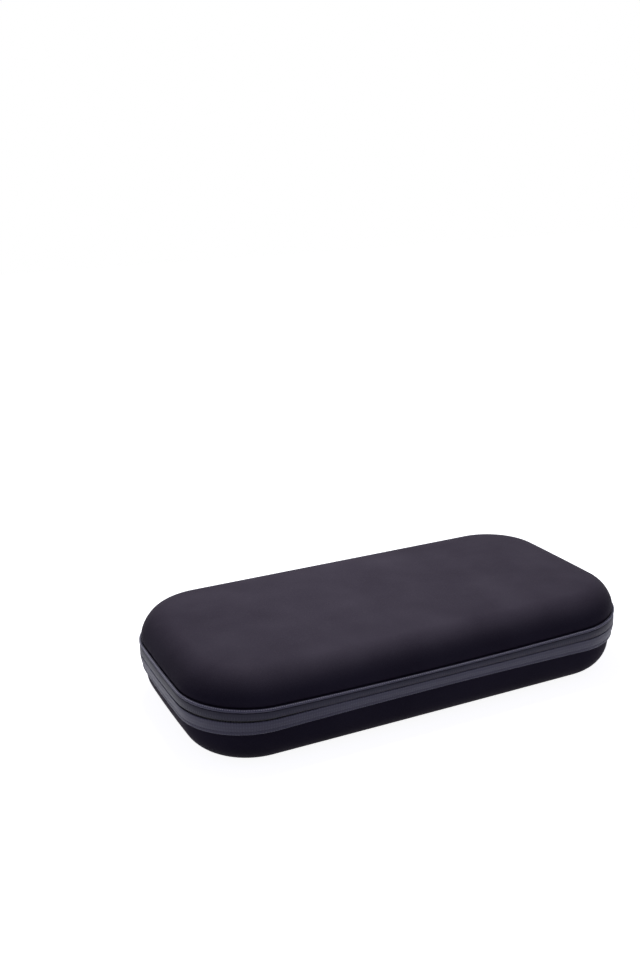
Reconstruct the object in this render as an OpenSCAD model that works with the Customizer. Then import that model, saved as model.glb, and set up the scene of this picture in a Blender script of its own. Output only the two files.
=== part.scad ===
// Hard case for a stethoscope: two moulded foam shells with a zip round three sides and a fabric spine.
// The origin is on the table under the middle of the closed case, the front is -Y and +Z is up.

/* [Case] */
// Length of the closed case over the zip band
case_l = 290; // [270:1:320]
// Width of the closed case over the zip band, front to back
case_w = 150; // [140:1:170]
// Height of the closed case
case_h = 58; // [56:0.5:66]
// Corner radius of the zip band, seen from above
corner_r = 42.6; // [38:0.2:48]
// Height of the zip line above the table
zip_h = 31.5; // [30.5:0.1:32.5]
// How far the base wall stands inside the band
base_inset = 3; // [2.6:0.1:3.4]
// How far the lid wall stands inside the band
lid_inset = 1.8; // [1.6:0.1:2.2]
// Radius of the round along the bottom edge
base_round = 20; // [16:0.5:22]
// Radius of the round along the lid's edge
lid_round = 16; // [13:0.5:17]
// Radius of the lid's shallow crown
crown_r = 200; // [160:5:400]

/* [Shell] */
// Thickness of the moulded fabric skin
cover_t = 0.8; // [0.6:0.1:1]
// Thickness of the moulded foam
foam_t = 4.2; // [3:0.1:4.6]
// Thickness of the knitted lining
lining_t = 0.5; // [0.4:0.1:0.8]
// Thickness of the binding round each rim
binding_t = 0.6; // [0.5:0.1:0.8]
// How far the binding reaches down inside each shell
binding_leg = 5.5; // [4:0.5:6]
// Height from the zip line to the bare edge of each shell
rim_gap = 5.5; // [5.2:0.1:6]

/* [Zip] */
// Thickness of one layer of zip tape
tape_t = 0.8; // [0.7:0.05:0.9]
// Gap between the two tapes along the zip line
tape_gap = 0.3; // [0.2:0.05:0.5]
// Height of the upper tape's rolled hem above the zip line
hem_up = 7.9; // [7.6:0.1:8.6]
// Depth of the lower tape's hem below the zip line
hem_down = 9.5; // [8.5:0.1:10.5]
// How far the lower tape leans in from top to bottom
tape_lean = 1.4; // [1:0.1:1.6]
// Thickness of the coil, front to back
coil_t = 2.2; // [1.8:0.1:2.6]
// Width of the coil's core
core_w = 1.4; // [1.1:0.1:1.5]
// How far each tooth passes the zip line
tooth_reach = 0.3; // [0.2:0.05:0.4]
// Spacing of the teeth on one side
tooth_pitch = 3.6; // [3.2:0.1:4.4]
// Diameter of the sewing thread
thread_d = 0.5; // [0.4:0.05:0.6]

/* [Spine] */
// Length of the woven spine between the zip's two ends
web_l = 120; // [100:1:140]
// Straight left at each end between a zip tail and the corner
tail_margin = 2.4; // [2:0.1:4]
// Distance from each spine fold to the bare shell edge it is sewn to
fold_offset = 0.7; // [0.6:0.05:0.8]
// Half the width of the slot in the open zip tails
slot_half = 1.4; // [1.3:0.05:1.5]

/* [Sliders] */
// Length of a slider along the zip
slider_l = 11; // [9:0.5:12]
// Width of a slider's outer plate
slider_w = 8; // [7.4:0.1:8.1]
// Thickness of a slider's plates
plate_t = 1.2; // [1:0.1:1.4]
// Distance from the spine to the middle of a parked slider
park = 10; // [9:0.5:14]
// Height of the bail over the outer plate
bail_h = 3; // [2.8:0.1:3.4]
// Length of a pull tab from its crossbar to its tip
pull_l = 22; // [18:0.5:26]
// Width of a pull tab
pull_w = 6.6; // [6:0.1:7]
// Thickness of a pull tab
pull_t = 1.3; // [1.1:0.05:1.4]

/* [Pocket] */
// Height of the net above the zip line
net_up = 7; // [6.5:0.1:8]
// Thickness of the net's cords
net_t = 0.8; // [0.6:0.1:1.2]
// Width of the cords between the net's gaps
cord_w = 1.6; // [1.2:0.1:2]
// Gaps in the net along the case
net_cols = 25; // [16:1:26]
// Gaps in the net across the case
net_rows = 8; // [5:1:9]
// Width of the net's plain edge
net_edge = 7; // [5:0.5:9]
// Distance from the case's middle line to the pocket's mouth
mouth_y = 22; // [15:1:22]
// Width of the elastic along the pocket's mouth
elastic_w = 8; // [6:0.5:9]
// Thickness of the elastic
elastic_t = 1.5; // [1:0.1:2]

/* [Hidden] */
$fn = 64;
clearance = 0.3; // between pieces that move on each other
reach = 400; // longer than anything it cuts
side_x = case_l / 2 - corner_r; // corner axes
side_y = case_w / 2 - corner_r;
shell_t = cover_t + foam_t + lining_t;
base_rim = zip_h - rim_gap;
lid_rim = zip_h + rim_gap;
base_r = corner_r - base_inset; // plan radius of each shell's outer wall
lid_r = corner_r - lid_inset;
crown_axis_z = case_h - crown_r; // the crown's arc is drawn about this height on the corner axis
lid_round_x = lid_r - lid_round;
lid_round_z = crown_axis_z + sqrt(pow(crown_r - lid_round, 2) - pow(lid_round_x, 2));
crown_a = acos(lid_round_x / (crown_r - lid_round)); // where the edge round meets the crown
fold_low_z = base_rim + fold_offset; // the two fold lines of the spine
fold_high_z = lid_rim - fold_offset;
fold_d = tape_t / 2;
spine_half = side_x - tail_margin;
web_half = web_l / 2;
tail_l = spine_half - clearance - web_half;
stitch_up = 6; // height of the upper seam above the zip line, through the lid's edge
stitch_down = 7.4; // depth of the lower seam below the zip line, through the base's edge
thread_sink = 0.1; // how far a seam lies below the face of the tape
core_in = tooth_reach + clearance; // from the zip line to the core's near side
core_out = core_in + core_w;
tail_shift = slot_half + tooth_reach; // how far a tail's coil stands off its closed place
coil_d = tape_t + coil_t; // depth of the coil's inner side below the band
tooth_inset = 0.3; // how much narrower the teeth are than the core, on each face
tooth_w = tooth_pitch / 2 - 2 * clearance; // along the zip, so that both sides' teeth clear each other
stop_l = 2.2; // length of a zip stop
guide_t = 0.45; // wall that guides the coil on a slider's inner plate
bail_half = slider_l / 2 - 1.3;
bail_w = 2;
bail_foot = 1.4;
ring_w = bail_w + 4 * clearance; // window of the pull that takes the bail
ring_end = bail_half + 2 * clearance;
crossbar_z = 2 * clearance + plate_t + pull_t / 2; // height of the pull's crossbar above the tape
net_z = zip_h + net_up;
net_r = lid_r - shell_t - binding_t - clearance / 3; // plan radius of the net where it is sewn to the binding
elastic_z = net_z + net_t / 2 - elastic_t / 2;

// Section drawn as distance outward from a corner's axis and height, carried round one side
module side(turn, off, l) {
    rotate([0, 0, turn]) translate([off, 0, 0]) rotate([90, 0, 0]) linear_extrude(l, center = true) children();
}

// Place on the axis of corner q, counted anticlockwise from the back right
module at_corner(q) {
    translate([side_x * (q == 0 || q == 3 ? 1 : -1), side_y * (q < 2 ? 1 : -1), 0]) rotate([0, 0, 90 * q]) children();
}

// The same section carried round the four corners
module corners() {
    for (q = [0 : 3])
        at_corner(q) rotate_extrude(angle = 90) children();
}

// A section carried all round the case
module all_round() {
    corners() children();
    side(0, side_x, 2 * side_y) children();
    side(180, side_x, 2 * side_y) children();
    side(90, side_y, 2 * side_x) children();
    side(270, side_y, 2 * side_x) children();
}

// A section carried round the case except along the spine
module round_front() {
    corners() children();
    side(0, side_x, 2 * side_y) children();
    side(180, side_x, 2 * side_y) children();
    side(270, side_y, 2 * side_x) children();
    for (s = [-1, 1])
        translate([s * (spine_half + tail_margin / 2), 0, 0]) side(90, side_y, tail_margin) children();
}

// Half plane on the outer side of the corner axis, between two heights
module heights(low, high) {
    translate([0, low]) square([reach, high - low]);
}

// Inside of the base's outer surface moved inward by t, up to a height
module base_region(t, top) {
    round_x = base_r - base_round;
    polygon([[0, t], [round_x, t], [round_x, base_round], [base_r - t, base_round], [base_r - t, top], [0, top]]);
    intersection() {
        translate([round_x, base_round]) circle(r = base_round - t);
        translate([round_x, 0]) square([reach, base_round]);
    }
}

// Inside of the lid's outer surface moved inward by t, from a height up
module lid_region(t, low) {
    intersection() {
        union() {
            square([lid_r - t, lid_round_z]);
            intersection() {
                translate([lid_round_x, lid_round_z]) circle(r = lid_round - t);
                translate([lid_round_x, lid_round_z]) wedge(0, crown_a);
            }
            intersection() {
                translate([0, crown_axis_z]) circle(r = crown_r - t, $fn = 360);
                polygon([[0, lid_round_z], [lid_round_x, lid_round_z],
                    [lid_round_x + reach * cos(crown_a), lid_round_z + reach * sin(crown_a)],
                    [0, lid_round_z + reach]]);
            }
        }
        heights(low, reach);
    }
}

// Wedge between two directions from the origin
module wedge(from, to) {
    polygon([[0, 0], [reach * cos(from), reach * sin(from)],
        reach * 2 * [cos((from + to) / 2), sin((from + to) / 2)], [reach * cos(to), reach * sin(to)]]);
}

// One closed layer of the base, between two depths below its outer surface
module base_layer(out, inner) {
    all_round() difference() {
        base_region(out, base_rim);
        base_region(inner, base_rim + 1);
    }
    translate([-side_x, -side_y, out]) cube([2 * side_x, 2 * side_y, inner - out]);
}

// One closed layer of the lid, between two depths below its outer surface
module lid_layer(out, inner) {
    all_round() difference() {
        lid_region(out, lid_rim);
        lid_region(inner, lid_rim - 1);
    }
    translate([-side_x, -side_y, case_h - inner]) cube([2 * side_x, 2 * side_y, inner - out]);
}

// Lower tape: leans in, thickens into a hem on the base wall and ends at a height
module lower_tape_section(top) {
    lean_z = zip_h - hem_down;
    step_z = base_rim + binding_t;
    face_z = zip_h - 2.5;
    difference() {
        intersection() {
            polygon([[corner_r - base_inset, lean_z], [corner_r - tape_lean - 0.4, lean_z],
                [corner_r - tape_lean, lean_z + 0.5], [corner_r, face_z], [corner_r, zip_h - 0.5],
                [corner_r - 0.3, zip_h - tape_gap / 2], [corner_r - tape_t, zip_h - tape_gap / 2],
                [corner_r - tape_t, step_z + 0.8], [corner_r - base_inset, step_z]]);
            heights(0, top);
        }
        translate([lower_thread_r() - thread_d / 2, zip_h - stitch_down - thread_d / 2])
            square([reach, thread_d]);
    }
}

// Distance from the corner axis to the lower thread's middle, on the leaning face
function lower_thread_r() = corner_r - thread_sink - thread_d / 2
    - tape_lean * (stitch_down - 2.5) / (hem_down - 3);

// Upper tape: upright, thickens over the lid wall and ends in a rolled hem
module upper_tape_section(low) {
    roll_r = lid_inset / 2;
    roll_z = zip_h + hem_up - roll_r;
    step_z = lid_rim - binding_t;
    difference() {
        union() {
            intersection() {
                polygon([[corner_r - 0.3, zip_h + tape_gap / 2], [corner_r, zip_h + 0.5], [corner_r, roll_z],
                    [corner_r - lid_inset, roll_z], [corner_r - lid_inset, step_z],
                    [corner_r - tape_t, step_z - 0.8], [corner_r - tape_t, zip_h + tape_gap / 2]]);
                heights(low, reach);
            }
            intersection() {
                translate([corner_r - roll_r, roll_z]) circle(r = roll_r);
                heights(roll_z, reach);
            }
        }
        translate([corner_r - thread_sink - thread_d, zip_h + stitch_up - thread_d / 2])
            square([reach, thread_d]);
    }
}

// Binding of the base: over the bare edge and down inside
module base_binding_section() {
    intersection() {
        difference() {
            base_region(shell_t, base_rim + 1);
            base_region(shell_t + binding_t, base_rim + 2);
        }
        heights(base_rim - binding_leg, base_rim);
    }
    translate([base_r - shell_t - binding_t, base_rim]) square([shell_t + binding_t, binding_t]);
}

// Binding of the lid: under the bare edge and up inside
module lid_binding_section() {
    intersection() {
        difference() {
            lid_region(shell_t, lid_rim - 1);
            lid_region(shell_t + binding_t, lid_rim - 2);
        }
        heights(lid_rim, lid_rim + binding_leg);
    }
    translate([lid_r - shell_t - binding_t, lid_rim - binding_t]) square([shell_t + binding_t, binding_t]);
}

// Section of a coil's core, above the zip line for s = 1 and below it for s = -1
module core_section(s) {
    translate([corner_r - coil_d, zip_h + min(s * core_in, s * core_out)]) square([coil_t, core_w]);
}

// Section of a tooth, from the middle of its core to its tip
module tooth_section(s) {
    root = core_in + core_w / 2;
    translate([corner_r - coil_d + tooth_inset, zip_h - (s > 0 ? tooth_reach : root)])
        square([coil_t - 2 * tooth_inset, root + tooth_reach]);
}

// A straight stretch of coil; both sides' teeth lie a quarter pitch either side of the same marks
module coil_straight(turn, off, l, s) {
    n = round(l / tooth_pitch);
    side(turn, off, l) core_section(s);
    for (i = [0 : n - 1]) {
        u = (i + (s > 0 ? 0.25 : 0.75)) * l / n - l / 2;
        rotate([0, 0, turn]) translate([0, u, 0]) side(0, off, tooth_w) tooth_section(s);
    }
}

// A quarter of coil round a corner
module coil_corner(s) {
    n = round(corner_r * PI / 2 / tooth_pitch);
    tooth_a = tooth_w / corner_r * 180 / PI;
    rotate_extrude(angle = 90) core_section(s);
    for (i = [0 : n - 1])
        rotate([0, 0, 90 * (i + (s > 0 ? 0.25 : 0.75)) / n - tooth_a / 2])
            rotate_extrude(angle = tooth_a) tooth_section(s);
}

// Coil of one half of the zip, round the front and both ends
module coil(s) {
    for (q = [0 : 3])
        at_corner(q) coil_corner(s);
    coil_straight(0, side_x, 2 * side_y, s);
    coil_straight(180, side_x, 2 * side_y, s);
    coil_straight(270, side_y, 2 * side_x, s);
}

// Section of the woven spine, with round edges at its two folds
module spine_section() {
    translate([corner_r - tape_t, fold_low_z]) square([tape_t, fold_high_z - fold_low_z]);
    for (z = [fold_low_z, fold_high_z])
        translate([corner_r - fold_d, z]) circle(r = fold_d);
}

// One tape of an open zip tail, from its fold to the slot
module tail_tape(side_sign, s) {
    near_z = zip_h + s * slot_half;
    translate([side_sign * (web_half + tail_l / 2), 0, 0]) side(90, side_y, tail_l) intersection() {
        spine_section();
        heights(s > 0 ? near_z : 0, s > 0 ? reach : near_z);
    }
}

// Both coils of an open zip tail, held apart by the slot
module tail_coil(side_sign) {
    l = tail_l - stop_l - clearance;
    mid = side_sign * (spine_half - clearance - l / 2);
    for (s = [-1, 1])
        translate([mid, 0, s * tail_shift]) coil_straight(90, side_y, l, s);
}

// Outline of a slider plate, wide at the head (+x) and narrow at the tail
module plate_outline(w) {
    head_r = 1.6;
    tail_r = 1.2;
    hull()
        for (s = [-1, 1]) {
            translate([slider_l / 2 - head_r, s * (w / 2 - head_r)]) circle(r = head_r);
            translate([-slider_l / 2 + tail_r, s * (w / 2 - tail_r - 0.9)]) circle(r = tail_r);
        }
}

// Slider: x runs along the zip with the head at +x, y across it, and z is height above the tape's face
module slider_body() {
    inner_z = -coil_d - clearance - plate_t;
    inner_w = 2 * (tail_shift + core_out + clearance + guide_t);
    post_d = 2 * (slot_half - clearance);
    guide_l = slider_l - 5.4;
    translate([0, 0, clearance]) linear_extrude(plate_t) plate_outline(slider_w);
    translate([0, 0, inner_z]) linear_extrude(plate_t) plate_outline(inner_w);
    for (s = [-1, 1])
        translate([-1.2, s * (inner_w - guide_t) / 2, inner_z + plate_t / 2])
            linear_extrude(plate_t / 2 + coil_t) square([guide_l, guide_t], center = true);
    translate([slider_l / 2 - 3.6, 0, inner_z + plate_t / 2]) linear_extrude(plate_t / 2 + coil_d + 2.5 * clearance)
        hull() {
            circle(d = post_d);
            translate([2, 0]) circle(d = post_d);
        }
    translate([0, bail_w / 2, clearance + plate_t]) rotate([90, 0, 0]) linear_extrude(bail_w) bail_outline();
}

// Side view of the bail: an arched back that falls a third of its height toward its two feet
module bail_outline() {
    drop = bail_h / 3;
    arch_r = (bail_half * bail_half + drop * drop) / (2 * drop);
    difference() {
        intersection() {
            translate([0, bail_h - arch_r]) circle(r = arch_r, $fn = 128);
            translate([-bail_half, -plate_t / 2]) square([2 * bail_half, bail_h + plate_t]);
        }
        translate([-bail_half + bail_foot, -plate_t])
            square([2 * (bail_half - bail_foot), plate_t + pull_t + 2 * clearance]);
    }
}

// Pull: crossbar at the origin under the bail, arms beside it and a tab with an oval grip toward -x
module slider_pull() {
    grip_d = pull_w / 2.4;
    arm_w = 1;
    translate([0, 0, -pull_t / 2]) linear_extrude(pull_t) difference() {
        hull() {
            translate([-1, -ring_w / 2 - arm_w]) square([1, ring_w + 2 * arm_w]);
            translate([-ring_end - 2, -pull_w / 2]) square([1, pull_w]);
            translate([-pull_l + pull_w / 2, 0]) circle(d = pull_w);
        }
        translate([-ring_end, -ring_w / 2]) square([ring_end + 1, ring_w]);
        hull() {
            translate([-pull_l + pull_w / 2, 0]) circle(d = grip_d);
            translate([-ring_end - 4, 0]) circle(d = grip_d);
        }
    }
    rotate([90, 0, 0]) cylinder(d = pull_t, h = ring_w + 2 * arm_w, center = true);
}

// Place of a slider on the left (-1) or right (1) tail, with its head away from the spine
module on_tail(side_sign) {
    translate([side_sign * (web_half + park), case_w / 2, zip_h]) rotate([-90, 0, 0])
        rotate([0, 0, side_sign > 0 ? 0 : 180]) children();
}

// Plan outline inside the lid's binding
module pocket_plan() {
    for (x = [-1, 1], y = [-1, 1]) translate([x * side_x, y * side_y]) circle(r = net_r);
    square([2 * (side_x + net_r), 2 * side_y], center = true);
    square([2 * side_x, 2 * (side_y + net_r)], center = true);
}

// Rows of gaps in the pocket's net, left out where they would cut its round corners
module net_gaps() {
    r = net_r - net_edge;
    back = side_y + r;
    front = -mouth_y + net_edge / 2;
    half = side_x + r;
    dx = 2 * half / net_cols;
    dy = (back - front) / net_rows;
    for (i = [0 : net_cols - 1], j = [0 : net_rows - 1]) {
        x = -half + (i + 0.5) * dx;
        y = front + (j + 0.5) * dy;
        over_x = max(0, abs(x) + dx / 2 - side_x);
        over_y = max(0, y + dy / 2 - side_y);
        if (norm([over_x, over_y]) < r + net_edge / 3)
            translate([x, y]) square([dx - cord_w, dy - cord_w], center = true);
    }
}

module base_outer_cover() {
    color("#1b1920") base_layer(0, cover_t);
}

module base_foam_shell() {
    color("#2c2b31") base_layer(cover_t, cover_t + foam_t);
}

module base_lining() {
    color("#3a393f") base_layer(cover_t + foam_t, shell_t);
}

module base_binding() {
    color("#232228") all_round() base_binding_section();
}

module zip_tape_lower() {
    color("#3c3a48") round_front() lower_tape_section(reach);
}

module zip_coil_lower() {
    color("#17171d") coil(-1);
}

module spine_hem_lower() {
    color("#2e2d36") side(90, side_y, 2 * spine_half) lower_tape_section(base_rim);
}

module base_seam_thread() {
    color("#55535f") all_round()
        translate([lower_thread_r(), zip_h - stitch_down]) square(thread_d, center = true);
}

module spine_web() {
    color("#2e2d36") side(90, side_y, web_l) spine_section();
}

module spine_lining() {
    color("#3a393f") side(90, side_y, web_l)
        translate([corner_r - tape_t - binding_t, fold_low_z + tape_t])
            square([binding_t, fold_high_z - fold_low_z - 2 * tape_t]);
}

module tail_tape_left_lower() {
    color("#3c3a48") tail_tape(-1, -1);
}

module tail_tape_left_upper() {
    color("#2c2b36") tail_tape(-1, 1);
}

module tail_tape_right_lower() {
    color("#3c3a48") tail_tape(1, -1);
}

module tail_tape_right_upper() {
    color("#2c2b36") tail_tape(1, 1);
}

module tail_coil_left() {
    color("#17171d") tail_coil(-1);
}

module tail_coil_right() {
    color("#17171d") tail_coil(1);
}

// A stop across both coils where each tail leaves the spine
module zip_stops() {
    half_h = tail_shift + core_out;
    color("#6d6d72") for (s = [-1, 1])
        translate([s * (web_half + stop_l / 2), side_y + corner_r - coil_d + coil_t / 2, zip_h])
            cube([stop_l, coil_t, 2 * half_h], center = true);
}

module lid_outer_cover() {
    color("#29262e") lid_layer(0, cover_t);
}

module lid_foam_shell() {
    color("#2c2b31") lid_layer(cover_t, cover_t + foam_t);
}

module lid_lining() {
    color("#3a393f") lid_layer(cover_t + foam_t, shell_t);
}

module lid_binding() {
    color("#232228") all_round() lid_binding_section();
}

module zip_tape_upper() {
    color("#2c2b36") round_front() upper_tape_section(0);
}

module zip_coil_upper() {
    color("#17171d") coil(1);
}

module spine_hem_upper() {
    color("#2e2d36") side(90, side_y, 2 * spine_half) upper_tape_section(lid_rim);
}

module lid_seam_thread() {
    color("#55535f") all_round()
        translate([corner_r - thread_sink - thread_d / 2, zip_h + stitch_up]) square(thread_d, center = true);
}

module mesh_pocket() {
    color("#26252b") translate([0, 0, net_z]) linear_extrude(net_t) difference() {
        pocket_plan();
        translate([-reach / 2, -reach - mouth_y]) square(reach);
        net_gaps();
    }
}

module pocket_elastic() {
    half = side_x + net_r;
    color("#1c1b20") translate([-half, -mouth_y - elastic_w, elastic_z]) cube([2 * half, elastic_w, elastic_t]);
}

module slider_left_body() {
    color("#3b3b40") on_tail(-1) slider_body();
}

module slider_left_pull() {
    color("#3b3b40") on_tail(-1) translate([0, 0, crossbar_z]) slider_pull();
}

module slider_right_body() {
    color("#3b3b40") on_tail(1) slider_body();
}

module slider_right_pull() {
    color("#3b3b40") on_tail(1) translate([0, 0, crossbar_z]) slider_pull();
}

base_outer_cover();
base_foam_shell();
base_lining();
base_binding();
zip_tape_lower();
zip_coil_lower();
spine_hem_lower();
base_seam_thread();
spine_web();
spine_lining();
tail_tape_left_lower();
tail_tape_left_upper();
tail_tape_right_lower();
tail_tape_right_upper();
tail_coil_left();
tail_coil_right();
zip_stops();
lid_outer_cover();
lid_foam_shell();
lid_lining();
lid_binding();
zip_tape_upper();
zip_coil_upper();
spine_hem_upper();
lid_seam_thread();
mesh_pocket();
pocket_elastic();
slider_left_body();
slider_left_pull();
slider_right_body();
slider_right_pull();
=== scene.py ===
import math

import bmesh
import bpy
from mathutils import Matrix, Vector


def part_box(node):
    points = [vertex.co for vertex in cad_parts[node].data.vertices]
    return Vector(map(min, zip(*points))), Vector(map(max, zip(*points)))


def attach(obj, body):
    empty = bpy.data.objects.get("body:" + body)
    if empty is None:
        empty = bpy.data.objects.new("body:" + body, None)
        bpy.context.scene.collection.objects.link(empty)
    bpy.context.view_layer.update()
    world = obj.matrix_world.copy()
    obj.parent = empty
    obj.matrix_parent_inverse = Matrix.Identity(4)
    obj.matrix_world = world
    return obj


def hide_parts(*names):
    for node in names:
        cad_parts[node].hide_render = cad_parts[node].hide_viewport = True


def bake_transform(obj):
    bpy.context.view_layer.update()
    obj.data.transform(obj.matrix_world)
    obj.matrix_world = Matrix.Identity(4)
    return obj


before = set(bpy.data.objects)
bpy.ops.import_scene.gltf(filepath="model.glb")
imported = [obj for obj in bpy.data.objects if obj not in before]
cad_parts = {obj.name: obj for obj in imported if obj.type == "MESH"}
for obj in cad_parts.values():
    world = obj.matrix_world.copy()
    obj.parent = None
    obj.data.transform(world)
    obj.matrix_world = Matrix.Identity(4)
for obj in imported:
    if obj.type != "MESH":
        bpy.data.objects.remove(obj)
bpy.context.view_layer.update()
print("frame loaded")

mm = 0.001
bandLow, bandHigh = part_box("zip_tape_lower")
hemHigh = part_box("spine_hem_upper")[1]
lidLow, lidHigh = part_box("lid_outer_cover")
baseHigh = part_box("base_outer_cover")[1]
case = {  # everything that the pieces share, in mm
    "halfLength": bandHigh.x / mm,
    "halfWidth": -bandLow.y / mm,
    "cornerRadius": 42.6,
    "zipHeight": 31.5,
    "hemTop": hemHigh.z / mm,
    "hemBottom": bandLow.z / mm,
    "top": lidHigh.z / mm - 0.4,
    "lidInset": (bandHigh.x - lidHigh.x) / mm,
    "baseInset": (bandHigh.x - baseHigh.x) / mm,
    "lidRim": lidLow.z / mm,
    "baseRim": baseHigh.z / mm,
    "baseRound": 19.3,
    "lidRound": 15.3,
    "crownRadius": 450,
    "skin": 0.8,
    "foam": 4.2,
    "lining": 0.5,
    "spineHalf": hemHigh.x / mm,
    "endSwell": 2.3,     # the moulded ends belly out, and the lid's a little less than the band
    "lidEndSwell": 1.2,
    "frontSwell": 0.6,
    "bandBow": 2.5,      # the band narrows above and below toward the middle of the front
    "lidPuff": 0.5,      # the lid swells out over the seam that draws it in
    "lidTuck": 1.2,      # how deep the seam draws the lid's wall in
    "lipMeet": -0.12,    # the tapes' lips meet on the straights, and part at the left and right turns
    "lipPart": (0.5, 0.15),
}
fade = {  # how far each feature of the settled shape reaches, in mm; the bow's, in heights of the band
    "bowAbove": 1.6,
    "bowBelow": 1.1,
    "turnX": (50, 60),   # begins this far before the corner's axis, and takes this long
    "turnY": (25, 40),
    "lipEdge": 0.15,     # up to here the gap between the lips opens
    "lip": (0.5, 3),     # from here it closes again, over this height
    "lidSwell": (1, 8),  # from here over the hem the band's swell gives way to the lid's
}
grid = {"corner": 18, "long": 48, "short": 16, "round": 14, "crown": 6, "back": 40}
mergeDistance = 2e-6
sharpAngle = 50
axisX = case["halfLength"] - case["cornerRadius"]
axisY = case["halfWidth"] - case["cornerRadius"]
cornerArc = case["cornerRadius"] * math.pi / 2
bandLength = 4 * (axisX + axisY + cornerArc)
wallDepth = case["skin"] + case["foam"] + case["lining"]


def linear(hexColour):  # sRGB hex to the linear colour that nodes take
    channels = [int(hexColour[i:i + 2], 16) / 255 for i in (1, 3, 5)]
    return [c / 12.92 if c <= 0.04045 else ((c + 0.055) / 1.055) ** 2.4 for c in channels] + [1.0]


def ease(t):
    t = min(1.0, max(0.0, t))
    return t * t * (3 - 2 * t)


def settled(co):  # the moulded shape that every soft piece takes: ends bellied out, band bowed
    x, y, z = co.x / mm, co.y / mm, co.z / mm
    along = max(0.0, 1 - (x / case["halfLength"]) ** 2)
    across = max(0.0, 1 - (y / case["halfWidth"]) ** 2)
    front = min(1.0, max(0.0, -y / case["halfWidth"]))
    bow = case["bandBow"] * along * ease(-y / axisY)
    if z > case["zipHeight"]:
        share = (z - case["zipHeight"]) / (case["hemTop"] - case["zipHeight"])
        z -= bow * (share if share < 1 else 1 - ease((share - 1) / fade["bowAbove"]))
    else:
        share = (case["zipHeight"] - z) / (case["zipHeight"] - case["hemBottom"])
        z += bow * (share if share < 1 else 1 - ease((share - 1) / fade["bowBelow"]))
    (beforeX, longX), (beforeY, longY) = fade["turnX"], fade["turnY"]
    turning = ease((abs(x) - axisX + beforeX) / longX) * ease((abs(y) - axisY + beforeY) / longY)
    lift = z - case["zipHeight"]
    part = case["lipMeet"] + (case["lipPart"][x > 0] - case["lipMeet"]) * turning
    start, height = fade["lip"]
    opened = part * min(1, abs(lift) / fade["lipEdge"]) * (1 - ease((abs(lift) - start) / height))
    z += math.copysign(opened, lift)
    start, height = fade["lidSwell"]
    toLid = ease((z - case["hemTop"] - start) / height)
    swell = case["endSwell"] + (case["lidEndSwell"] - case["endSwell"]) * toLid
    x += math.copysign(swell * across * min(1.0, abs(x) / case["halfLength"]), x)
    y -= case["frontSwell"] * along * front
    return Vector((x, y, z)) * mm


def trackAt(s):  # point and outward direction, s mm round the band from the middle of the front
    s = s % bandLength
    legs = [(axisX, (0, -1)), (cornerArc, (1, -1)), (2 * axisY, (1, 0)), (cornerArc, (1, 1)),
            (2 * axisX, (0, 1)), (cornerArc, (-1, 1)), (2 * axisY, (-1, 0)), (cornerArc, (-1, -1)),
            (axisX, (0, -1))]
    for i, (length, side) in enumerate(legs):
        if s <= length or i == len(legs) - 1:
            break
        s -= length
    if 0 in side:
        away = Vector((side[0], side[1], 0))
        ahead = Vector((-away.y, away.x, 0))
        start = {0: 0, 2: -axisY, 4: -axisX, 6: -axisY, 8: -axisX}[i]
        middle = Vector((side[0] * axisX, side[1] * axisY, 0))
        return middle + ahead * (start + s), away
    first = {(1, -1): -90, (1, 1): 0, (-1, 1): 90, (-1, -1): 180}[side]
    angle = math.radians(first) + s / case["cornerRadius"]
    return Vector((side[0] * axisX, side[1] * axisY, 0)), Vector((math.cos(angle), math.sin(angle), 0))


def trackOf(x, y):  # the reverse: how far round the band a point lies
    if abs(x) <= axisX:
        return x if y < 0 else bandLength / 2 - x
    side = 1 if x > 0 else -1
    s = axisX + cornerArc
    if y < -axisY:
        s -= math.atan2(-axisY - y, abs(x) - axisX) * case["cornerRadius"]
    elif y > axisY:
        s += 2 * axisY + math.atan2(y - axisY, abs(x) - axisX) * case["cornerRadius"]
    else:
        s += y + axisY
    return side * s


wayRound = [  # the legs of a full round, from the foot of the right end, anticlockwise
    (None, (0, 2 * axisY), grid["short"]), ((axisX, axisY), 90, grid["corner"]),
    (None, (-2 * axisX, 0), grid["long"]), ((-axisX, axisY), 90, grid["corner"]),
    (None, (0, -2 * axisY), grid["short"]), ((-axisX, -axisY), 90, grid["corner"]),
    (None, (2 * axisX, 0), grid["long"]), ((axisX, -axisY), 90, grid["corner"])]
tailStep = axisX - case["spineHalf"]
wayFront = [  # from the spine's right end round the front to its left end
    (None, (tailStep, 0), 1), ((axisX, axisY), -90, grid["corner"]),
    (None, (0, -2 * axisY), grid["short"]), ((axisX, -axisY), -90, grid["corner"]),
    (None, (-2 * axisX, 0), grid["long"]), ((-axisX, -axisY), -90, grid["corner"]),
    (None, (0, 2 * axisY), grid["short"]), ((-axisX, axisY), -90, grid["corner"]),
    (None, (tailStep, 0), 1)]


def fromRight(d, z):  # d is the depth below the face of the band
    return Vector((axisX + case["cornerRadius"] - d, -axisY, z)) * mm


def fromBack(d, z):
    return Vector((case["spineHalf"], axisY + case["cornerRadius"] - d, z)) * mm


def chain(bm, points, place, closed):
    verts = [bm.verts.new(place(d, z)) for d, z in points]
    pairs = list(zip(verts, verts[1:] + (verts[:1] if closed else [])))
    return verts + [bm.edges.new(p) for p in pairs]


def sweep(bm, geom, steps, centre=(0, 0, 0), angle=0, step=(0, 0, 0)):
    swept = bmesh.ops.spin(bm, geom=geom, cent=centre, axis=(0, 0, 1), angle=angle, dvec=step,
                           steps=steps, use_merge=False, use_normal_flip=False, use_duplicate=False)
    return swept["geom_last"]


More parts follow.
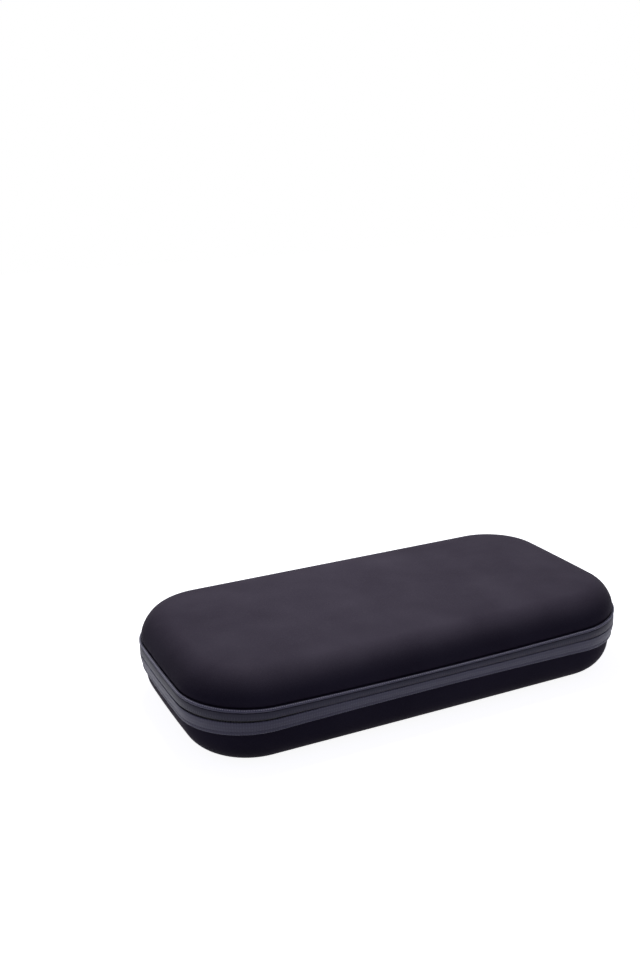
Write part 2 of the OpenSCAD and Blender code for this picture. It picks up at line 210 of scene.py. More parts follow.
def carry(bm, geom, legs):  # a leg runs straight, or turns about a corner's axis
    for centre, turn, steps in legs:
        if centre is None:
            geom = sweep(bm, geom, steps, step=Vector((turn[0], turn[1], 0)) * mm / steps)
        else:
            geom = sweep(bm, geom, steps, centre=Vector((centre[0], centre[1], 0)) * mm,
                         angle=math.radians(turn))


def merge(bm):
    bmesh.ops.remove_doubles(bm, verts=bm.verts, dist=mergeDistance)


def closeEnds(bm):
    bmesh.ops.holes_fill(bm, edges=[e for e in bm.edges if e.is_boundary], sides=0)


def mapRound(bm):  # the cloth's own map: metres along the band, and metres up and in across it
    layer = bm.loops.layers.uv.new("cloth")
    for face in bm.faces:
        spots = [trackOf(loop.vert.co.x / mm, loop.vert.co.y / mm) for loop in face.loops]
        far = max(spots)
        for loop, spot in zip(face.loops, spots):
            if far - spot > bandLength / 2:
                spot += bandLength
            co = loop.vert.co
            centre, away = trackAt(spot)
            out = (Vector((co.x, co.y, 0)) / mm - centre).dot(away)
            loop[layer].uv = (spot * mm, co.z + out * mm)


def finishMesh(bm, name, body, material, slot, *nodes):
    merge(bm)
    bmesh.ops.recalc_face_normals(bm, faces=bm.faces)
    for v in bm.verts:
        v.co = settled(v.co)
    mesh = bpy.data.meshes.new(name)
    bm.to_mesh(mesh)
    bm.free()
    piece = bpy.data.objects.new(name, mesh)
    bpy.context.scene.collection.objects.link(piece)
    mesh.materials.append(material)
    mesh.shade_smooth()
    mesh.set_sharp_from_angle(angle=math.radians(sharpAngle))
    if body:
        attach(piece, body)
    if nodes:
        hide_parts(*nodes)
    return piece


def roundPiece(name, section, body, material, slot, *nodes, closed=True, front=False, middle=False):
    bm = bmesh.new()
    geom = chain(bm, section, fromBack if front else fromRight, closed)
    carry(bm, geom, wayFront if front else wayRound)
    merge(bm)
    if middle:  # the sheet between the corner axes, carried across from its left edge
        for _, z in (section[0], section[-1]):
            left = [e for e in bm.edges if e.is_boundary and all(
                abs(v.co.x / mm + axisX) < 0.01 and abs(v.co.z / mm - z) < 0.01 for v in e.verts)]
            sweep(bm, left + list({v for e in left for v in e.verts}), grid["long"],
                  step=(2 * axisX * mm / grid["long"], 0, 0))
        merge(bm)
    if front:
        closeEnds(bm)
    mapRound(bm)
    return finishMesh(bm, name, body, material, slot, *nodes)


def newMaterial(name, **sockets):
    material = bpy.data.materials.new(name)
    material.use_nodes = True
    shader = material.node_tree.nodes["Principled BSDF"]
    for key, value in sockets.items():
        shader.inputs[key.replace("_", " ")].default_value = value
    return material, material.node_tree, shader


def addNode(tree, kind, links=None, **settings):  # links: input name or number -> output socket or value
    node = tree.nodes.new("ShaderNode" + kind)
    for key, value in settings.items():
        setattr(node, key, value)
    for key, value in (links or {}).items():
        if isinstance(value, bpy.types.NodeSocket):
            tree.links.new(value, node.inputs[key])
        else:
            node.inputs[key].default_value = value
    return node


def clothMaterial(name, dark, light, threads, bump, **sockets):
    # threads: pitch along and across in mm, laid out by the cloth's own map; a knit has one, and no lay
    material, tree, shader = newMaterial(name, **sockets)
    place = addNode(tree, "TexCoord")
    if len(threads) == 2:
        warp, weft = [addNode(tree, "TexWave", {"Vector": place.outputs["UV"], "Distortion": 0.6,
                                                "Detail": 1.0, "Detail Scale": 2.0,
                                                "Scale": math.tau / 20 / (pitch * mm)},
                              wave_type="BANDS", bands_direction=way, wave_profile="SIN")
                      for way, pitch in zip("XY", threads)]
        weave = addNode(tree, "Math", {0: warp.outputs["Fac"], 1: weft.outputs["Fac"]},
                        operation="MULTIPLY")
    else:
        loops = addNode(tree, "TexVoronoi", {"Vector": place.outputs["Object"],
                                             "Scale": 1 / (threads[0] * mm)})
        weave = addNode(tree, "Math", {0: loops.outputs["Distance"], 1: 0.8}, operation="MULTIPLY")
    grain = addNode(tree, "TexNoise", {"Vector": place.outputs["Object"], "Scale": 900.0, "Detail": 3.0})
    patch = addNode(tree, "TexNoise", {"Vector": place.outputs["Object"], "Scale": 28.0, "Detail": 2.0})
    tone = addNode(tree, "Math", {0: weave.outputs[0], 1: 0.5, 2: patch.outputs["Fac"]},
                   operation="MULTIPLY_ADD")
    colour = addNode(tree, "ValToRGB", {"Fac": tone.outputs[0]})
    colour.color_ramp.elements[0].position, colour.color_ramp.elements[0].color = 0.35, linear(dark)
    colour.color_ramp.elements[1].position, colour.color_ramp.elements[1].color = 1.0, linear(light)
    tree.links.new(colour.outputs["Color"], shader.inputs["Base Color"])
    height = addNode(tree, "Math", {0: grain.outputs["Fac"], 1: 0.4, 2: weave.outputs[0]},
                     operation="MULTIPLY_ADD")
    relief = addNode(tree, "Bump", {"Height": height.outputs[0], "Strength": bump, "Distance": 0.0002})
    tree.links.new(relief.outputs["Normal"], shader.inputs["Normal"])
    return material


# Calendered polyester jersey bonded to moulded foam: matt, near black with a violet cast,
# a fine knit grain
coverCloth = clothMaterial("calendered polyester jersey", "#332e38", "#413c46", (0.6,), 0.15,
                           Roughness=0.65, Specular_IOR_Level=0.02)
# Closed-cell EVA foam, hidden between the skins
shellFoam = clothMaterial("closed cell foam", "#26252a", "#2e2d33", (1.4,), 0.2,
                          Roughness=0.9, Specular_IOR_Level=0.1)
# Brushed tricot lining, a little greyer than the outside
liningCloth = clothMaterial("brushed tricot lining", "#3b3a40", "#4a4950", (0.8,), 0.3,
                            Roughness=0.95, Specular_IOR_Level=0.08, Sheen_Weight=0.08)
# Polyester grosgrain binding: fine ribs across the tape
bindingCloth = clothMaterial("polyester grosgrain binding", "#1f1e24", "#33323a", (0.8, 1.6), 0.6,
                             Roughness=0.8, Specular_IOR_Level=0.15)
# Woven polyester zip tape, satin, one cloth: the upper tape is drawn darker than the lower as painted
# shade under the welt, and the welt paler as a painted highlight.
# The ribs are drawn about three times coarser than the real ones, so that they can be seen at all
tapeLowerCloth = clothMaterial("satin zip tape, lower", "#474556", "#5a586a", (1.5, 3.0), 0.4,
                               Roughness=0.55, Specular_IOR_Level=0.34, Sheen_Weight=0.3)
# the upper tape's darker colour is painted shade from the welt above it; the cloth itself is the lower
# tape's
tapeUpperPaintedShade = clothMaterial("satin zip tape, upper, painted shade", "#2a2838", "#3d3b4b", (1.5, 3.0), 0.6,
                               Roughness=0.55, Specular_IOR_Level=0.28, Sheen_Weight=0.3)
# the welt's paler colour is a painted highlight where the overhead light falls on its top; the cloth is
# the tapes'
weltPaintedHighlight = clothMaterial("satin welt tape, painted highlight", "#646271", "#7c7a88", (1.5, 3.0), 0.5,
                          Roughness=0.6, Specular_IOR_Level=0.3, Sheen_Weight=0.3)
# Nylon oxford of the spine: a plain basket weave
spineCloth = clothMaterial("nylon oxford", "#27262d", "#3a3942", (1.0, 1.0), 0.7,
                           Roughness=0.75, Specular_IOR_Level=0.25)
# Knitted net and elastic
netCloth = clothMaterial("warp knitted net", "#1c1b20", "#2b2a31", (0.5,), 0.3,
                         Roughness=0.8, Specular_IOR_Level=0.2)
elasticCloth = clothMaterial("woven elastic", "#17161b", "#2c2b32", (1.2, 0.8), 0.9,
                             Roughness=0.75, Specular_IOR_Level=0.2)


def plainMaterial(name, colour, scuff, grit, bump, **sockets):  # grit in mm
    material, tree, shader = newMaterial(name, **sockets)
    place = addNode(tree, "TexCoord")
    noise = addNode(tree, "TexNoise", {"Vector": place.outputs["Object"], "Scale": 1 / (grit * mm),
                                       "Detail": 4.0})
    ramp = addNode(tree, "ValToRGB", {"Fac": noise.outputs["Fac"]})
    ramp.color_ramp.elements[0].position, ramp.color_ramp.elements[0].color = 0.4, linear(colour)
    ramp.color_ramp.elements[1].position, ramp.color_ramp.elements[1].color = 0.75, linear(scuff)
    tree.links.new(ramp.outputs["Color"], shader.inputs["Base Color"])
    relief = addNode(tree, "Bump", {"Height": noise.outputs["Fac"], "Strength": bump,
                                    "Distance": 0.0001})
    tree.links.new(relief.outputs["Normal"], shader.inputs["Normal"])
    return material


# Extruded nylon monofilament, satin
coilNylon = plainMaterial("nylon monofilament", "#131318", "#1d1d24", 0.5, 0.1, Roughness=0.35)
# Bonded polyester sewing thread, twisted: paler than the welt on the lid's outside,
# and the lower tape's shade in the other rows
lidThread = plainMaterial("bonded polyester thread, pale", "#aeacb9", "#cbc9d3", 0.25, 0.6,
                          Roughness=0.6, Specular_IOR_Level=0.3)
baseThread = plainMaterial("bonded polyester thread, dark", "#474556", "#5a586a", 0.25, 0.6,
                           Roughness=0.6, Specular_IOR_Level=0.3)
# Die-cast zinc under black stoving enamel, rubbed a little
enamelledZinc = plainMaterial("enamelled die-cast zinc", "#1b1b1f", "#2b2b30", 1.5, 0.05,
                              Roughness=0.4, Specular_IOR_Level=0.35, Coat_Weight=0.15,
                              Coat_Roughness=0.25)
print("materials made")


def arc(d, z, radius, start, end, steps):  # angle 0 points outward, 90 up
    return [(d - radius * math.cos(math.radians(a)), z + radius * math.sin(math.radians(a)))
            for a in [start + (end - start) * i / steps for i in range(steps + 1)]]


wall = {  # heights in mm: the base's extra row, the lid's rows about its seam, and where that draws it
    "baseRow": 23.0,
    "lidRows": (41.3, 40.8, 40.6, 40.4, 40.2, 40.0, 39.7, 39.3, 38.9, 38.5),
    "puffRise": (39.95, 0.5),
    "puffFall": (43, 9),
    "tuckTop": (40.45, 0.5),
    "tuckFoot": (38.3, 0.6),
}


def baseFace(t):  # base surface moved in by t, from the corner axis to the rim
    radius = case["baseRound"]
    d = case["baseInset"] + radius
    return ([(case["cornerRadius"], t), (case["cornerRadius"] * 0.75 + d * 0.25, t)]
            + arc(d, radius, radius - t, -90, 0, grid["round"])
            + [(case["baseInset"] + t, wall["baseRow"]), (case["baseInset"] + t, case["baseRim"])])


def lidFace(t):  # lid surface moved in by t; the skin swells out over the seam, which draws it in
    radius = case["lidRound"]
    d = case["lidInset"] + radius
    crownZ = case["top"] - case["crownRadius"]
    reach = case["cornerRadius"] - d
    z = crownZ + math.sqrt((case["crownRadius"] - radius) ** 2 - reach ** 2)
    meet = math.degrees(math.acos(reach / (case["crownRadius"] - radius)))
    crown = arc(case["cornerRadius"], crownZ, case["crownRadius"] - t, 90, meet, grid["crown"])
    rounded = arc(d, z, radius - t, meet, 0, grid["round"])[1:]
    face = crown + rounded + [(case["lidInset"] + t, h) for h in wall["lidRows"] + (case["lidRim"],)]
    if t > case["skin"]:
        return face
    (rise, riseLong), (fall, fallLong) = wall["puffRise"], wall["puffFall"]
    puff = [case["lidPuff"] * ease((h - rise) / riseLong) * (1 - ease((h - fall) / fallLong))
            for _, h in face]
    (top, topLong), (foot, footLong) = wall["tuckTop"], wall["tuckFoot"]
    tuck = [case["lidTuck"] * ease((top - h) / topLong) * ease((h - foot) / footLong) for _, h in face]
    return [(p - out + back, h) for (p, h), out, back in zip(face, puff, tuck)]


layers = [("skin", 0, case["skin"], coverCloth, "cover_fabric", "outer_cover"),
          ("foam", case["skin"], case["skin"] + case["foam"], shellFoam, "foam", "foam_shell"),
          ("liner", case["skin"] + case["foam"], wallDepth, liningCloth, "lining_fabric", "lining")]
for body, face in (("base", baseFace), ("lid", lidFace)):
    for part, outer, inner, cloth, slotName, node in layers:
        roundPiece(f"{body}_{part}", face(outer) + face(inner)[::-1], body, cloth,
                                         slotName, f"{body}_{node}", closed=False, middle=True)
print("shells made")

binding = {"thick": 0.6, "leg": 5.5, "edge": 0.15, "innerRound": 0.3, "outerRound": 0.2}


def bindingSection(inset, rim, up):  # over the bare rim and down inside; up is the way out of the shell
    t, e, near, far = (binding[k] for k in ("thick", "edge", "innerRound", "outerRound"))
    inside = inset + wallDepth
    leg = rim - up * binding["leg"]
    return [(inset + e, rim), (inside, rim), (inside, leg + up * e), (inside + e, leg),
            (inside + t - e, leg), (inside + t, leg + up * e), (inside + t, rim + up * (t - near)),
            (inside + t - near, rim + up * t), (inset + far, rim + up * t),
            (inset, rim + up * (t - far)), (inset, rim + up * e)]


baseBinding = roundPiece("base_rim_binding", bindingSection(case["baseInset"], case["baseRim"], 1),
                         "base", bindingCloth, "binding_fabric", "base_binding")
lidBinding = roundPiece("lid_rim_binding", bindingSection(case["lidInset"], case["lidRim"], -1), "lid",
                        bindingCloth, "binding_fabric", "lid_binding")
print("bindings made")

# the zip band's tapes, as sections of (depth below the band's face, height)
upperFace = [(0.25, 31.65), (0.08, 31.75), (0.0, 32.0), (-0.04, 32.5), (0.0, 33.1), (0.02, 34.4),
             (0.1, 35.4), (0.3, 36.2), (0.65, 36.65), (1.15, 36.9), (1.78, 36.95)]
upperBack = [(1.78, 36.4), (0.9, 35.7), (0.8, 35.4), (0.8, 31.8), (0.7, 31.65)]
weltFace = [(1.25, 37.0), (0.75, 37.05), (0.3, 37.3), (0.0, 37.7), (-0.1, 38.15), (-0.02, 38.6),
            (0.25, 39.0), (0.65, 39.25), (1.05, 39.2), (1.4, 38.9), (1.65, 38.4), (1.78, 38.0),
            (1.78, 37.0)]
lowerFace = [(0.25, 31.35), (0.08, 31.25), (0.0, 31.0), (-0.04, 30.5), (0.0, 29.8), (0.08, 28.4),
             (0.35, 27.0), (0.7, 25.6), (0.92, 24.7), (1.0, 24.3), (1.0, 23.9), (0.96, 23.5),
             (0.94, 23.0), (1.04, 22.5), (1.4, 22.15), (2.0, 22.0), (2.95, 22.1)]
lowerBack = [(2.95, 26.6), (0.9, 27.3), (0.8, 27.6), (0.8, 31.2), (0.7, 31.35)]
bandUpper = roundPiece("zip_band_upper", upperFace + upperBack, "lid", tapeUpperPaintedShade, "zip_tape",
                       "zip_tape_upper", front=True)
bandLower = roundPiece("zip_band_lower", lowerFace + lowerBack, "base", tapeLowerCloth, "zip_tape",
                       "zip_tape_lower", front=True)
welt = roundPiece("zip_band_welt", weltFace, "lid", weltPaintedHighlight, "zip_tape", front=True)


backFace = axisY + case["cornerRadius"]


def straightStrip(section, half, steps, shift=0):  # a closed section carried along the back
    bm = bmesh.new()
    geom = chain(bm, section, lambda d, z: Vector((shift + half, backFace - d, z)) * mm, True)
    carry(bm, geom, [(None, (-2 * half, 0), steps)])
    closeEnds(bm)
    mapRound(bm)
    return bm


hemUpperSection = [(0.5, 36.95), (0.55, 37.2)] + weltFace[2:-1] + [(1.78, 36.95)]
hemLowerSection = [(0.55, 26.1)] + lowerFace[7:] + [(2.95, 26.0), (0.75, 26.1)]
hemUpper = finishMesh(straightStrip(hemUpperSection, case["spineHalf"], grid["back"]),
                      "spine_hem_upper_cloth", "lid", spineCloth, "spine_fabric", "spine_hem_upper")
hemLower = finishMesh(straightStrip(hemLowerSection, case["spineHalf"], grid["back"]),
                      "spine_hem_lower_cloth", "base", spineCloth, "spine_fabric", "spine_hem_lower")
print("zip band made")


def scatter(name, shape, spots, body, material, slot, *nodes):
    # spots: how far round the band, depth, height, and a tilt about the outward way
    bm = bmesh.new()
    for s, d, z, tilt in spots:
        centre, away = trackAt(s)
        ahead = Vector((-away.y, away.x, 0))
        turn = Matrix((ahead, away, (0, 0, 1))).transposed().to_4x4()
        middle = centre + away * (case["cornerRadius"] - d) + Vector((0, 0, z))
        place = Matrix.Translation(middle * mm)
        copied = shape.copy()
        copied.transform(place @ turn @ Matrix.Rotation(tilt, 4, "Y"))
        bm.from_mesh(copied)
        bpy.data.meshes.remove(copied)
    return finishMesh(bm, name, body, material, slot, *nodes)


def shapeMesh(name, build):
    bm = bmesh.new()
    build(bm)
    mesh = bpy.data.meshes.new(name)
    bm.to_mesh(mesh)
    bm.free()
    return mesh


stitch = {"pitch": 2.1, "finePitch": 1.3, "length": 0.78, "thick": 0.48, "fineThick": 0.6,
          "baseDepth": 1.08, "baseHeight": 24.1, "lidDepth": 0.2, "lidHeight": 39.0,
          "pastLining": 0.7, "lidInnerHeight": 38.0}


def buildStitch(bm, pitch):
    thick = stitch["fineThick"] if pitch == stitch["finePitch"] else stitch["thick"]
    bmesh.ops.create_uvsphere(bm, u_segments=6, v_segments=4, radius=0.5 * mm,
                              matrix=Matrix.Rotation(math.pi / 2, 4, "Y"))
    bmesh.ops.scale(bm, vec=(stitch["length"] * pitch, thick, thick), verts=bm.verts)


def stitchRow(name, pitch, d, z, body, thread, *nodes):
    count = round(bandLength / pitch)
    spots = [((i + 0.5) * bandLength / count, d, z, 0.0) for i in range(count)]
    shape = shapeMesh("stitch", lambda bm: buildStitch(bm, pitch))
    scatter(name, shape, spots, body, thread, "thread", *nodes)


stitchRow("base_seam_outside", stitch["pitch"], stitch["baseDepth"], stitch["baseHeight"], "base",
          baseThread, "base_seam_thread")
stitchRow("base_seam_inside", stitch["pitch"], case["baseInset"] + wallDepth + stitch["pastLining"],
          stitch["baseHeight"], "base", baseThread)
stitchRow("lid_seam_outside", stitch["finePitch"], stitch["lidDepth"], stitch["lidHeight"], "lid",
          lidThread, "lid_seam_thread")
stitchRow("lid_seam_inside", stitch["pitch"], case["lidInset"] + wallDepth + stitch["pastLining"],
          stitch["lidInnerHeight"], "lid", baseThread)
print("stitches made")

coil = {"pitch": 1.5, "wire": 0.34, "reach": 2.3, "depth": 2.0, "core": 0.95, "at": 1.9, "tilt": 0.12,
        "lap": 0.3, "overrun": 0.4, "coreFrom": 1.3, "coreTo": 2.5, "coreTall": 0.8}


def buildLoop(bm):  # one turn of the coil, flattened, in the plane across the zip
    place = Matrix.Translation((0, 1.0 * mm, 0)) @ Matrix.Rotation(math.pi, 4, "Y")
    ring = bmesh.ops.create_circle(bm, segments=5, radius=coil["wire"] * mm, matrix=place)
    geom = ring["verts"] + list({e for v in ring["verts"] for e in v.link_edges})
    bmesh.ops.spin(bm, geom=geom, cent=(0, 0, 0), axis=(1, 0, 0), angle=math.tau, dvec=(0, 0, 0),
                   steps=8, use_merge=True, use_normal_flip=False, use_duplicate=False)
    bmesh.ops.scale(bm, vec=(1, coil["depth"] / 2 - coil["wire"], coil["reach"] / 2 - coil["wire"]),
                    verts=bm.verts)


loopShape = shapeMesh("coil loop", buildLoop)
# from the middle of the front to where the chain turns onto the back
coilFront = bandLength / 2 - axisX + coil["overrun"]
turns = round(2 * coilFront / coil["pitch"])
for body, up, node in (("base", -1, "zip_coil_lower"), ("lid", 1, "zip_coil_upper")):
    z = case["zipHeight"] + up * (coil["reach"] / 2 - coil["lap"])
    spots = [(-coilFront + (i + 0.5 + 0.25 * up) * 2 * coilFront / turns, coil["at"], z,
              coil["tilt"] * up) for i in range(turns)]
    scatter(f"zip_chain_{body}", loopShape, spots, body, coilNylon, "zip_coil", node)
    low = case["zipHeight"] + up * coil["core"]
    high = low + up * coil["coreTall"]
    core = [(coil["coreFrom"], low), (coil["coreTo"], low), (coil["coreTo"], high),
            (coil["coreFrom"], high)]
    roundPiece(f"zip_cord_{body}", core, body, tapeUpperPaintedShade, "zip_tape", front=True)
print("zip chain made")

spine = {"halfWeb": 60, "foldLow": 26.7, "foldHigh": 36.3, "slot": 1.4, "bend": 0.7, "gap": 0.3,
         "lap": 0.3, "outer": 0.02, "inner": 0.78, "middle": 0.4, "rows": 16, "coilStart": 2.5}


def clothStrip(low, high, steps):  # closed section of a flat cloth standing in the band's face
    rise = [low + (high - low) * i / steps for i in range(steps + 1)]
    return [(spine["outer"], z) for z in rise] + [(spine["inner"], z) for z in reversed(rise)]


def spineHalfPiece(name, heights, half, shift, cloth, slot, node):
    strip = straightStrip(clothStrip(*heights, spine["rows"]), half, max(4, round(half / 3)), shift)
    piece = finishMesh(strip, name, None, cloth, slot, node)
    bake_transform(piece)
    return piece


spineLow, spineHigh = case["baseRim"] - spine["lap"], case["lidRim"] + spine["lap"]
lowerHalf = spineHalfPiece("spine_cloth_lower", (spineLow, case["zipHeight"]), spine["halfWeb"], 0,
                           spineCloth, "spine_fabric",
                           "spine_web")
upperHalf = spineHalfPiece("spine_cloth_upper", (case["zipHeight"], spineHigh), spine["halfWeb"], 0,
                           spineCloth, "spine_fabric",
                           "spine_web")
tailHalf = (case["spineHalf"] - spine["gap"] - spine["halfWeb"]) / 2
for side, sign in (("left", -1), ("right", 1)):
    shift = sign * (spine["halfWeb"] + tailHalf)
    lower = spineHalfPiece(f"tail_cloth_{side}_lower", (spineLow, case["zipHeight"] - spine["slot"]),
                           tailHalf, shift, tapeLowerCloth, "zip_tape",
                           f"tail_tape_{side}_lower")
    upper = spineHalfPiece(f"tail_cloth_{side}_upper", (case["zipHeight"] + spine["slot"], spineHigh),
                           tailHalf, shift, tapeUpperPaintedShade, "zip_tape",
                           f"tail_tape_{side}_upper")
    # the open tails' coils stand clear of the slot
    start = sign * (bandLength / 2 - spine["halfWeb"] - spine["coilStart"])
    end = sign * (bandLength / 2 - case["spineHalf"] + spine["gap"])
    number = round(abs(end - start) / coil["pitch"])
    spots = [(start + (end - start) * (i + 0.5) / number, coil["at"],
              case["zipHeight"] + up * (coil["reach"] / 2 + spine["slot"]), coil["tilt"] * up)
             for i in range(number) for up in (-1, 1)]
    scatter(f"tail_chain_{side}", loopShape, spots, "spine", coilNylon, "zip_coil",
            f"tail_coil_{side}")
innerSection = [(0.8, 27.5), (0.8, 35.5), (1.25, 35.5), (1.4, 35.3), (1.4, 27.7), (1.25, 27.5)]
spineInside = finishMesh(straightStrip(innerSection, spine["halfWeb"] - spine["gap"], grid["back"]),
                         "spine_lining_cloth", "spine", liningCloth, "lining_fabric", "spine_lining")
print("spine made")

pocket = {"netHeight": 38.9, "mouth": -22, "cellLong": 1.7, "cellAcross": 3.0, "cord": 0.42, "hem": 6.5,
          "hemLap": 2.5, "hemHalf": 0.45, "hemEdge": 0.4, "pastMouth": 1, "gridPastMouth": 4,
          "elasticWide": 8, "elasticThick": 1.5, "elasticHeight": 38.9, "elasticSteps": 90}
pocketInset = case["lidInset"] + wallDepth + binding["thick"]
pocketRadius = case["cornerRadius"] - pocketInset


def insidePocket(x, y, margin):
    radius = pocketRadius - margin
    over = Vector((max(0.0, abs(x) - axisX), max(0.0, abs(y) - axisY)))
    return over.length < radius and y > pocket["mouth"] - pocket["pastMouth"]


def buildNet():  # a brick grid whose rows are drawn up and down into six-sided holes
    bm = bmesh.new()
    halfX, high = axisX + pocketRadius, axisY + pocketRadius
    low = pocket["mouth"] - pocket["gridPastMouth"]
    columns = 2 * round(halfX / pocket["cellLong"])
    rows = round((high - low) / pocket["cellAcross"])
    bmesh.ops.create_grid(bm, x_segments=columns, y_segments=rows, size=0.5)
    bmesh.ops.scale(bm, vec=(2 * halfX * mm, (high - low) * mm, 1), verts=bm.verts)
    bmesh.ops.translate(bm, vec=Vector((0, (high + low) / 2, pocket["netHeight"])) * mm,
                        verts=bm.verts)
    stepX, stepY = 2 * halfX / columns, (high - low) / rows

    def cell(v):
        return round((v.co.x / mm + halfX) / stepX), round((v.co.y / mm - low) / stepY)

    loose = []
    for e in bm.edges:
        (i, j), (k, l) = cell(e.verts[0]), cell(e.verts[1])
        if i == k and (i + min(j, l)) % 2 and not e.is_boundary:
            loose.append(e)
    for v in bm.verts:
        i, j = cell(v)
        v.co.y += (0.5 if (i + j) % 2 == 0 else -0.5) * stepY / 3 * mm
    bmesh.ops.dissolve_edges(bm, edges=loose, use_verts=False)
    middles = [(f, f.calc_center_median() / mm) for f in bm.faces]
    margin = pocket["hem"] - pocket["hemLap"]
    outside = [f for f, at in middles if not insidePocket(at.x, at.y, margin)]
    bmesh.ops.delete(bm, geom=outside, context="FACES")
    bmesh.ops.wireframe(bm, faces=bm.faces, thickness=pocket["cord"] * mm, offset=0.0,
                        use_replace=True, use_boundary=True, use_even_offset=False,
                        use_relative_offset=False)
    return finishMesh(bm, "pocket_net", "lid", netCloth, "net", "mesh_pocket")


net = buildNet()

bm = bmesh.new()
inner, outer = pocketInset + pocket["hem"], pocketInset
low, high = pocket["netHeight"] - pocket["hemHalf"], pocket["netHeight"] + pocket["hemHalf"]
hemSection = [(outer, low), (outer, high), (inner - pocket["hemEdge"], high),
              (inner, pocket["netHeight"]), (inner - pocket["hemEdge"], low)]
carry(bm, chain(bm, hemSection, fromRight, True), wayRound)
merge(bm)
bmesh.ops.bisect_plane(bm, geom=bm.verts[:] + bm.edges[:] + bm.faces[:], dist=1e-6,
                       plane_co=(0, pocket["mouth"] * mm, 0), plane_no=(0, 1, 0), clear_inner=True)
closeEnds(bm)
mapRound(bm)
netHem = finishMesh(bm, "pocket_net_hem", "lid", bindingCloth, "binding_fabric")

bm = bmesh.new()
elasticHalf = axisX + pocketRadius
profile = [(-0.5, -0.3), (-0.5, 0.3), (-0.47, 0.5), (0.47, 0.5), (0.5, 0.3), (0.5, -0.3), (0.47, -0.5),
           (-0.47, -0.5)]
across, tall = pocket["elasticWide"], pocket["elasticThick"]
geom = chain(bm, profile, lambda a, b: Vector((elasticHalf, pocket["mouth"] - across * (0.5 + a),
                                               pocket["elasticHeight"] + b * tall)) * mm, True)
carry(bm, geom, [(None, (-2 * elasticHalf, 0), pocket["elasticSteps"])])
closeEnds(bm)
layer = bm.loops.layers.uv.new("cloth")
for f in bm.faces:
    for loop in f.loops:
        loop[layer].uv = (loop.vert.co.x, loop.vert.co.y)
elastic = finishMesh(bm, "pocket_mouth_elastic", "lid", elasticCloth, "binding_fabric", "pocket_elastic")
print("pocket made")

# the sliders, pulls and stops stay as the frame has them
for name in ("slider_left_body", "slider_left_pull", "slider_right_body", "slider_right_pull",
             "zip_stops"):
    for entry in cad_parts[name].material_slots:
        entry.material = enamelledZinc
print("hardware finished")

floor = {"half": 2.5, "pale": "#f4f4f4", "dim": "#87879a", "glow": 0.92, "glowFar": 1.05, "clear": 0.4,
         "white": 1.0}
bm = bmesh.new()
bmesh.ops.create_grid(bm, x_segments=1, y_segments=1, size=floor["half"])
mesh = bpy.data.meshes.new("studio_floor")
bm.to_mesh(mesh)
bm.free()
floorObject = bpy.data.objects.new("studio_floor", mesh)
bpy.context.scene.collection.objects.link(floorObject)
floorMaterial = bpy.data.materials.new("white sweep")
mesh.materials.append(floorMaterial)
surround = {"tint": (0.8, 0.8, 1.25, 1), "strength": 0.15, "seen": (1, 1, 1, 1), "seenStrength": 1.0}
world = bpy.data.worlds.new("studio")
bpy.context.scene.world = world


def showPale(owner, output, unseen, seen):  # the camera and mirrors see one thing, another lights the case
    owner.use_nodes = True
    tree = owner.node_tree
    tree.nodes.clear()
    rays = addNode(tree, "LightPath")
    first = addNode(tree, "Math", {0: rays.outputs["Is Camera Ray"], 1: rays.outputs["Is Glossy Ray"]},
                    operation="MAXIMUM")
    both = addNode(tree, "Math", {0: first.outputs[0], 1: rays.outputs["Is Transmission Ray"]},
                   operation="MAXIMUM")
    choice = addNode(tree, "MixShader", {0: both.outputs[0], 1: unseen(tree), 2: seen(tree)})
    tree.links.new(choice.outputs[0], addNode(tree, output).inputs["Surface"])


def litSweep(tree):  # keeps the case's shadow near it, and rises to white farther out
    pale = addNode(tree, "BsdfDiffuse", {"Color": linear(floor["pale"])})
    spot = addNode(tree, "TexCoord")
    away = addNode(tree, "VectorMath", {0: spot.outputs["Object"]}, operation="LENGTH")
    rise = addNode(tree, "MapRange", {"Value": away.outputs["Value"], "From Min": floor["clear"],
                                      "From Max": floor["white"], "To Min": floor["glow"],
                                      "To Max": floor["glowFar"]})
    glow = addNode(tree, "Emission", {"Strength": rise.outputs["Result"]})
    return addNode(tree, "AddShader", {0: pale.outputs[0], 1: glow.outputs[0]}).outputs[0]


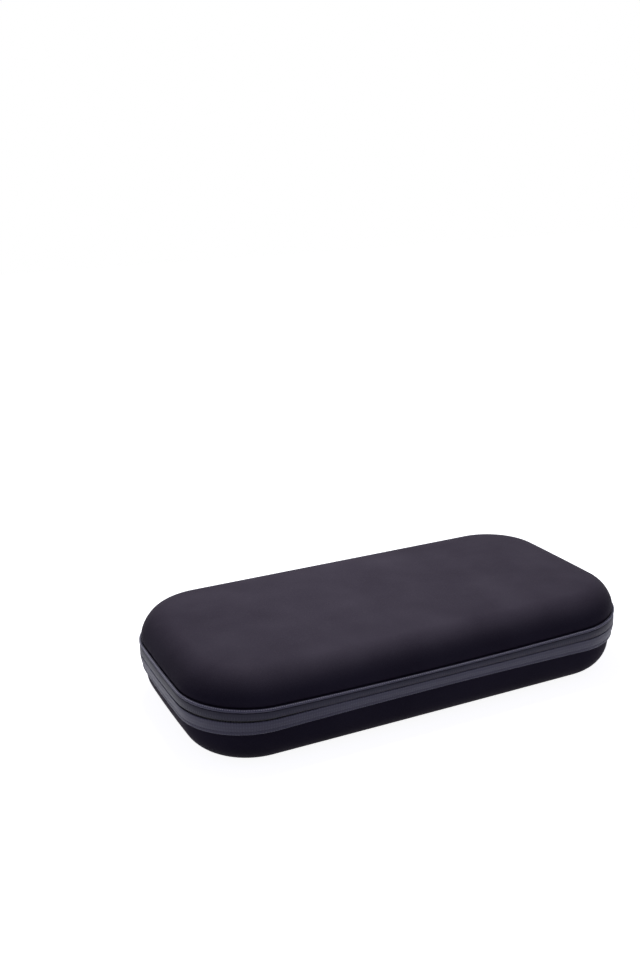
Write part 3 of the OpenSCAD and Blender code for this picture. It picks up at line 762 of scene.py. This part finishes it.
showPale(floorMaterial, "OutputMaterial",
         lambda tree: addNode(tree, "BsdfDiffuse", {"Color": linear(floor["dim"])}).outputs[0], litSweep)
showPale(world, "OutputWorld",
         lambda tree: addNode(tree, "Background", {"Color": surround["tint"],
                                                   "Strength": surround["strength"]}).outputs[0],
         lambda tree: addNode(tree, "Background", {"Color": surround["seen"],
                                                   "Strength": surround["seenStrength"]}).outputs[0])

softbox = {"place": (-0.01, 0.065, 0.45), "aim": (0, 0, 0.03), "size": (0.2, 0.2), "power": 1.62}
light = bpy.data.lights.new("overhead softbox", "AREA")
light.shape, light.energy = "RECTANGLE", softbox["power"]
light.size, light.size_y = softbox["size"]
lamp = bpy.data.objects.new("overhead softbox", light)
lamp.location = softbox["place"]
aimed = Vector(softbox["aim"]) - Vector(softbox["place"])
lamp.rotation_euler = aimed.to_track_quat("-Z", "Y").to_euler()
bpy.context.scene.collection.objects.link(lamp)

camera = {"azimuth": -24.89, "elevation": 16.96, "roll": -1.58, "distance": 716.42, "lens": 42.3,
          "right": -38.7, "up": 95.81, "sensor": 36.0, "height": 30.0, "near": 0.01}
az, el, roll = (math.radians(camera[k]) for k in ("azimuth", "elevation", "roll"))
back = Vector((math.sin(az) * math.cos(el), -math.cos(az) * math.cos(el), math.sin(el)))
right = (-back).cross(Vector((0, 0, 1))).normalized()
upward = right.cross(-back)
right, upward = (right * math.cos(roll) + upward * math.sin(roll),
                 upward * math.cos(roll) - right * math.sin(roll))
eye = (Vector((0, 0, camera["height"])) + right * camera["right"] + upward * camera["up"]
       + back * camera["distance"])
view = bpy.data.cameras.new("camera")
view.lens, view.sensor_width, view.sensor_fit = camera["lens"], camera["sensor"], "AUTO"
view.clip_start = camera["near"]
cameraObject = bpy.data.objects.new("camera", view)
turned = Matrix((right, upward, back)).transposed().to_4x4()
cameraObject.matrix_world = Matrix.Translation(eye * mm) @ turned
bpy.context.scene.collection.objects.link(cameraObject)
bpy.context.scene.camera = cameraObject
bpy.context.scene.view_settings.view_transform = "Standard"
print("studio made")
